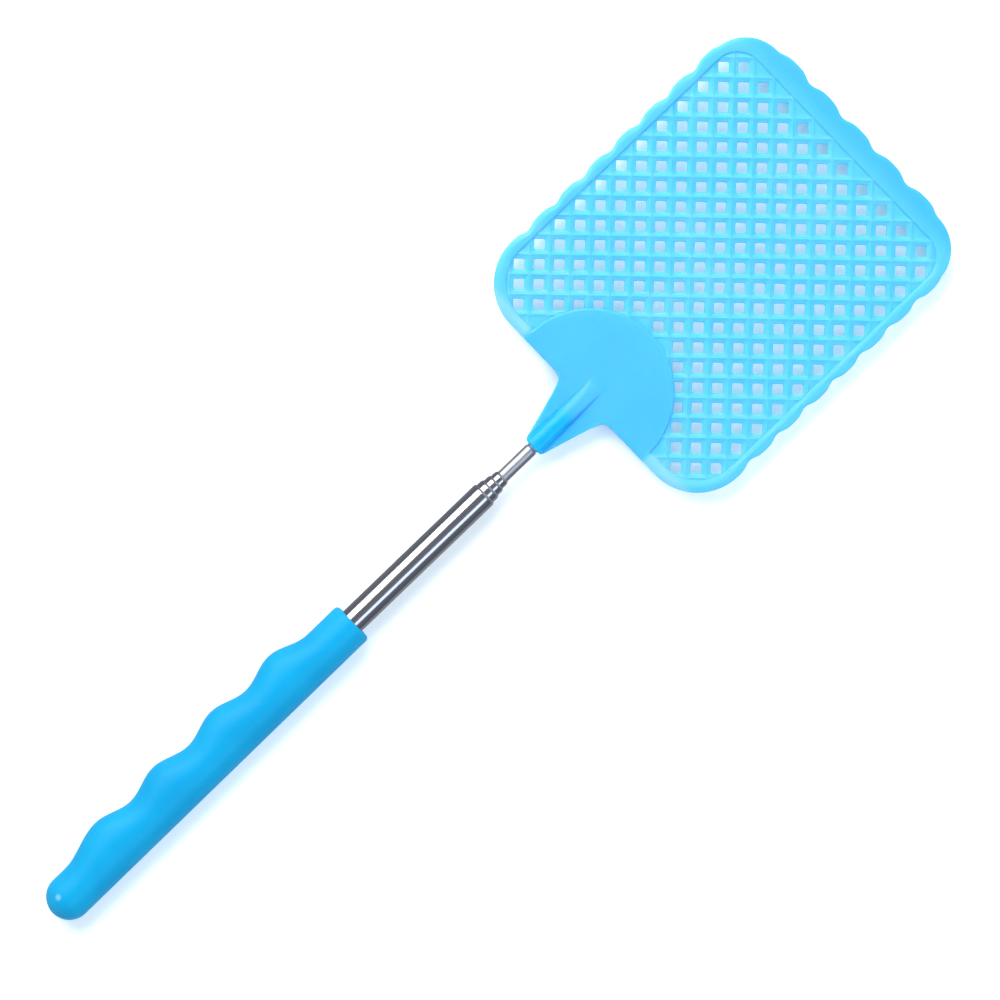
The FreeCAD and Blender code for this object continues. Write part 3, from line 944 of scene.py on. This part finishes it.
def polished_stainless(name, low_roughness, high_roughness):
    """Drawn tube: the roughness says how far it was buffed, and fine lines run lengthwise."""
    material, tree, place = new_material(name)
    stretch = add_node(
        tree,
        "ShaderNodeMapping",
        {"Vector": (place, "Object")},
        {"Scale": (per_mm(40), per_mm(0.12), per_mm(0.12))},
    )
    lines = add_node(
        tree,
        "ShaderNodeTexNoise",
        {"Vector": (stretch, "Vector")},
        {"Scale": 1.0, "Detail": 3.0},
    )
    blur = add_node(
        tree,
        "ShaderNodeMapRange",
        {"Value": (lines, "Fac")},
        {"From Min": 0.3, "From Max": 0.7, "To Min": low_roughness, "To Max": high_roughness},
    )
    bump = add_node(
        tree,
        "ShaderNodeBump",
        {"Height": (lines, "Fac")},
        {"Strength": 0.12, "Distance": 0.01 * MM},
    )
    cloud = add_node(
        tree,
        "ShaderNodeTexNoise",
        {"Vector": (place, "Object")},
        {"Scale": per_mm(9), "Detail": 2.0},
    )
    tone = add_node(tree, "ShaderNodeValToRGB", {"Fac": (cloud, "Fac")})
    tone.color_ramp.elements[0].color = linear("#CBCCD0")
    tone.color_ramp.elements[1].color = linear("#D6D6D8")
    shader = add_node(
        tree,
        "ShaderNodeBsdfPrincipled",
        {"Base Color": (tone, "Color"), "Roughness": (blur, "Result"), "Normal": (bump, "Normal")},
        {"Metallic": 1.0},
    )
    finish_with(tree, shader)
    return material


buffed = polished_stainless("buffed_drawn_stainless", 0.10, 0.20)
rubbed = polished_stainless("rubbed_drawn_stainless", 0.40, 0.48)
for tube in tubes:
    tube.data.materials.append(rubbed if tube is tubes[-1] else buffed)
print("tubes finished")

# %% [markdown]
# ## Plugs and springs
# Inside the rod, turned brass plugs close the tubes' bases and thin bronze sleeves drag in the
# tubes. They hardly show, so their CAD shapes stay, and only get a real finish: turning rings on
# the brass, and a warm, slightly tarnished sheen on the bronze.

# %% Brass and bronze


def warm_metal(name, bright, dull, ring_mm, low_roughness, high_roughness):
    """A warm metal with fine rings across the rod's axis, and tarnish in slow clouds."""
    material, tree, place = new_material(name)
    tarnish = add_node(
        tree,
        "ShaderNodeTexNoise",
        {"Vector": (place, "Object")},
        {"Scale": per_mm(3), "Detail": 4.0},
    )
    tone = add_node(tree, "ShaderNodeValToRGB", {"Fac": (tarnish, "Fac")})
    tone.color_ramp.elements[0].position, tone.color_ramp.elements[1].position = 0.35, 0.7
    tone.color_ramp.elements[0].color, tone.color_ramp.elements[1].color = linear(dull), linear(bright)
    across_rod = add_node(
        tree,
        "ShaderNodeMapping",
        {"Vector": (place, "Object")},
        {"Scale": (per_mm(ring_mm), per_mm(30), per_mm(30))},
    )
    rings = add_node(
        tree,
        "ShaderNodeTexNoise",
        {"Vector": (across_rod, "Vector")},
        {"Scale": 1.0, "Detail": 2.0},
    )
    blur = add_node(
        tree,
        "ShaderNodeMapRange",
        {"Value": (rings, "Fac")},
        {"From Min": 0.3, "From Max": 0.7, "To Min": low_roughness, "To Max": high_roughness},
    )
    bump = add_node(
        tree,
        "ShaderNodeBump",
        {"Height": (rings, "Fac")},
        {"Strength": 0.3, "Distance": 0.02 * MM},
    )
    shader = add_node(
        tree,
        "ShaderNodeBsdfPrincipled",
        {"Base Color": (tone, "Color"), "Roughness": (blur, "Result"), "Normal": (bump, "Normal")},
        {"Metallic": 1.0},
    )
    finish_with(tree, shader)
    return material


brass = warm_metal("turned_brass", "#E3C27A", "#C9A45C", 0.15, 0.22, 0.36)
bronze = warm_metal("rolled_phosphor_bronze", "#D9A066", "#B67C48", 0.4, 0.28, 0.42)
for name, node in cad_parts.items():
    metal = brass if name.endswith("plug") else bronze if name.endswith("spring") else None
    if metal is None:
        continue
    if not node.material_slots:
        node.data.materials.append(metal)
    for held in node.material_slots:
        held.material = metal
    print(f"{name}: {metal.name}")

# %% [markdown]
# ## Studio
# The swatter lies on a plain pale table. A polished tube shows whatever stands round it, so the
# room decides how the steel looks: one broad bright softbox on the finger side, a narrower, dimmer
# and cooler one on the other, and dark walls between them make the bright and dark stripes. The
# walls past the rod's two ends are paler, so that the steel isn't black when it is seen from one
# end. The table isn't seen in reflections, and neither are the two high lamps that light the
# plastic.

# %% Table, lights and room
FLOOR_SIZE = 14.0


def add_floor():
    """A wide plain table at z 0, slightly lit from below through its own pale top."""
    half = FLOOR_SIZE / 2 / MM
    corners = np.array([(-half, -half, 0), (half, -half, 0), (half, half, 0), (-half, half, 0)])
    floor = link_piece("floor", corners, [[0, 1, 2, 3]])
    material, tree, _ = new_material("pale_table")
    shader = add_node(
        tree,
        "ShaderNodeBsdfPrincipled",
        values={
            "Base Color": linear("#FAFBFD"),
            "Roughness": 0.8,
            "Emission Color": linear("#BFEFFF"),
            "Emission Strength": 0.2,
        },
    )
    finish_with(tree, shader)
    floor.data.materials.append(material)
    floor.visible_glossy = False


def add_softbox(name, towards, distance, width, length, watts, colour, mirrored=True):
    """A rectangular lamp, its length along the rod, aimed at the swatter's middle, in metres."""
    lamp = bpy.data.lights.new(name, "AREA")
    lamp.shape, lamp.size, lamp.size_y = "RECTANGLE", length, width
    lamp.energy, lamp.color = watts, linear(colour)[:3]
    box = bpy.data.objects.new(name, lamp)
    back = np.array(towards) / np.linalg.norm(towards)
    right = np.array([1.0, 0, 0]) - back[0] * back
    right /= np.linalg.norm(right)
    columns = np.eye(4)
    columns[:3] = np.stack([right, np.cross(back, right), back, back * distance], axis=1)
    box.matrix_world = Matrix(columns.tolist())
    box.visible_glossy = mirrored
    bpy.context.scene.collection.objects.link(box)


def aim(degrees, along=0.0):
    """A direction that far from overhead towards +Y, leaning along the rod."""
    return along, math.sin(math.radians(degrees)), math.cos(math.radians(degrees))


add_floor()
WHITE, COOL_WHITE = "#FFFFFF", "#DCE8FF"
HIGH_LAMP = {"distance": 1.8, "width": 1.2, "length": 1.8, "colour": WHITE, "mirrored": False}
add_softbox("key_softbox", aim(46.5, 0.2), 1.3, width=1.1, length=1.3, watts=15.0, colour=WHITE)
add_softbox("fill_softbox", aim(-39), 1.3, width=0.5, length=1.6, watts=4.4, colour=COOL_WHITE)
add_softbox("high_finger_side", aim(34, 0.3), watts=19.0, **HIGH_LAMP)
add_softbox("high_straight_side", aim(-30, 0.1), watts=13.5, **HIGH_LAMP)
print("table and four lamps ready")

# %% Room
ROOM_BANDS = (  # angle from overhead towards +Y, in degrees, and the wall's colour there
    (-180, "#8A8D92"),
    (-126, "#9C9EA4"),
    (-100, "#5E6470"),
    (-70, "#686E7A"),
    (-30, "#7E8894"),
    (0, "#74767C"),
    (25, "#80828A"),
    (90, "#6C6E76"),
    (120, "#7E8088"),
    (180, "#8A8D92"),
)
END_WALLS = "#B4B8BE"
END_FADE = 0.5, 0.85  # how squarely a direction faces along the rod where the end walls begin and fill


def paint_room():
    """The room as bands round the rod's direction, paler past its two ends.

    Only light and reflections see it, and the camera sees an even pale backdrop.
    """
    world = bpy.data.worlds.new("studio")
    bpy.context.scene.world = world
    world.use_nodes = True
    tree = world.node_tree
    tree.nodes.clear()
    place = add_node(tree, "ShaderNodeTexCoord")
    parts = add_node(tree, "ShaderNodeSeparateXYZ", {"Vector": (place, "Generated")})
    angle = add_node(tree, "ShaderNodeMath", {0: (parts, "Y"), 1: (parts, "Z")}, operation="ARCTAN2")
    share = add_node(
        tree,
        "ShaderNodeMapRange",
        {"Value": (angle, "Value")},
        {"From Min": -math.pi, "From Max": math.pi},
    )
    bands = add_node(tree, "ShaderNodeValToRGB", {"Fac": (share, "Result")})
    ramp = bands.color_ramp
    ramp.interpolation = "EASE"
    ramp.elements[0].color = linear(ROOM_BANDS[0][1])
    ramp.elements[1].color = linear(ROOM_BANDS[-1][1])
    for degrees, colour in ROOM_BANDS[1:-1]:
        ramp.elements.new(degrees / 360 + 0.5).color = linear(colour)
    along = add_node(tree, "ShaderNodeMath", {0: (parts, "X")}, operation="ABSOLUTE")
    at_end = add_node(
        tree,
        "ShaderNodeMapRange",
        {"Value": (along, "Value")},
        {"From Min": END_FADE[0], "From Max": END_FADE[1]},
        interpolation_type="SMOOTHSTEP",
    )
    colour = add_node(
        tree,
        "ShaderNodeMix",
        {"Factor": (at_end, "Result"), 6: (bands, "Color")},
        {7: linear(END_WALLS)},
        data_type="RGBA",
    )
    walls = add_node(tree, "ShaderNodeBackground", {"Color": (colour, 2)}, {"Strength": 1.0})
    pale = add_node(tree, "ShaderNodeBackground", values={"Color": linear("#F4F6FA"), "Strength": 1.0})
    seen = add_node(tree, "ShaderNodeLightPath")
    mixed = add_node(
        tree,
        "ShaderNodeMixShader",
        {0: (seen, "Is Camera Ray"), 1: (walls, "Background"), 2: (pale, "Background")},
    )
    add_node(tree, "ShaderNodeOutputWorld", {"Surface": (mixed, "Shader")})


paint_room()
scene = bpy.context.scene
scene.view_settings.view_transform = "Standard"
scene.view_settings.look = "None"
print("studio ready")

# %% [markdown]
# ## Camera
# The camera looks straight down from far away, through a long lens, so there is almost no
# perspective. It is turned so that the rod runs from the lower left to the upper right.

# %% Camera
CAMERA_HEIGHT = 2.0
VIEW_WIDTH = 294.0
AIM_AT = (13.6, -4.4, AXIS_Z)
ROD_ANGLE = 43.9
SENSOR = 36.0

lens = bpy.data.cameras.new("camera")
lens.sensor_width = SENSOR
lens.lens = SENSOR * CAMERA_HEIGHT / (VIEW_WIDTH * MM)
camera = bpy.data.objects.new("camera", lens)
camera.location = (AIM_AT[0] * MM, AIM_AT[1] * MM, AIM_AT[2] * MM + CAMERA_HEIGHT)
camera.rotation_euler = (0, 0, -math.radians(ROD_ANGLE))
scene.collection.objects.link(camera)
scene.camera = camera
print(f"lens {lens.lens:.0f} mm")
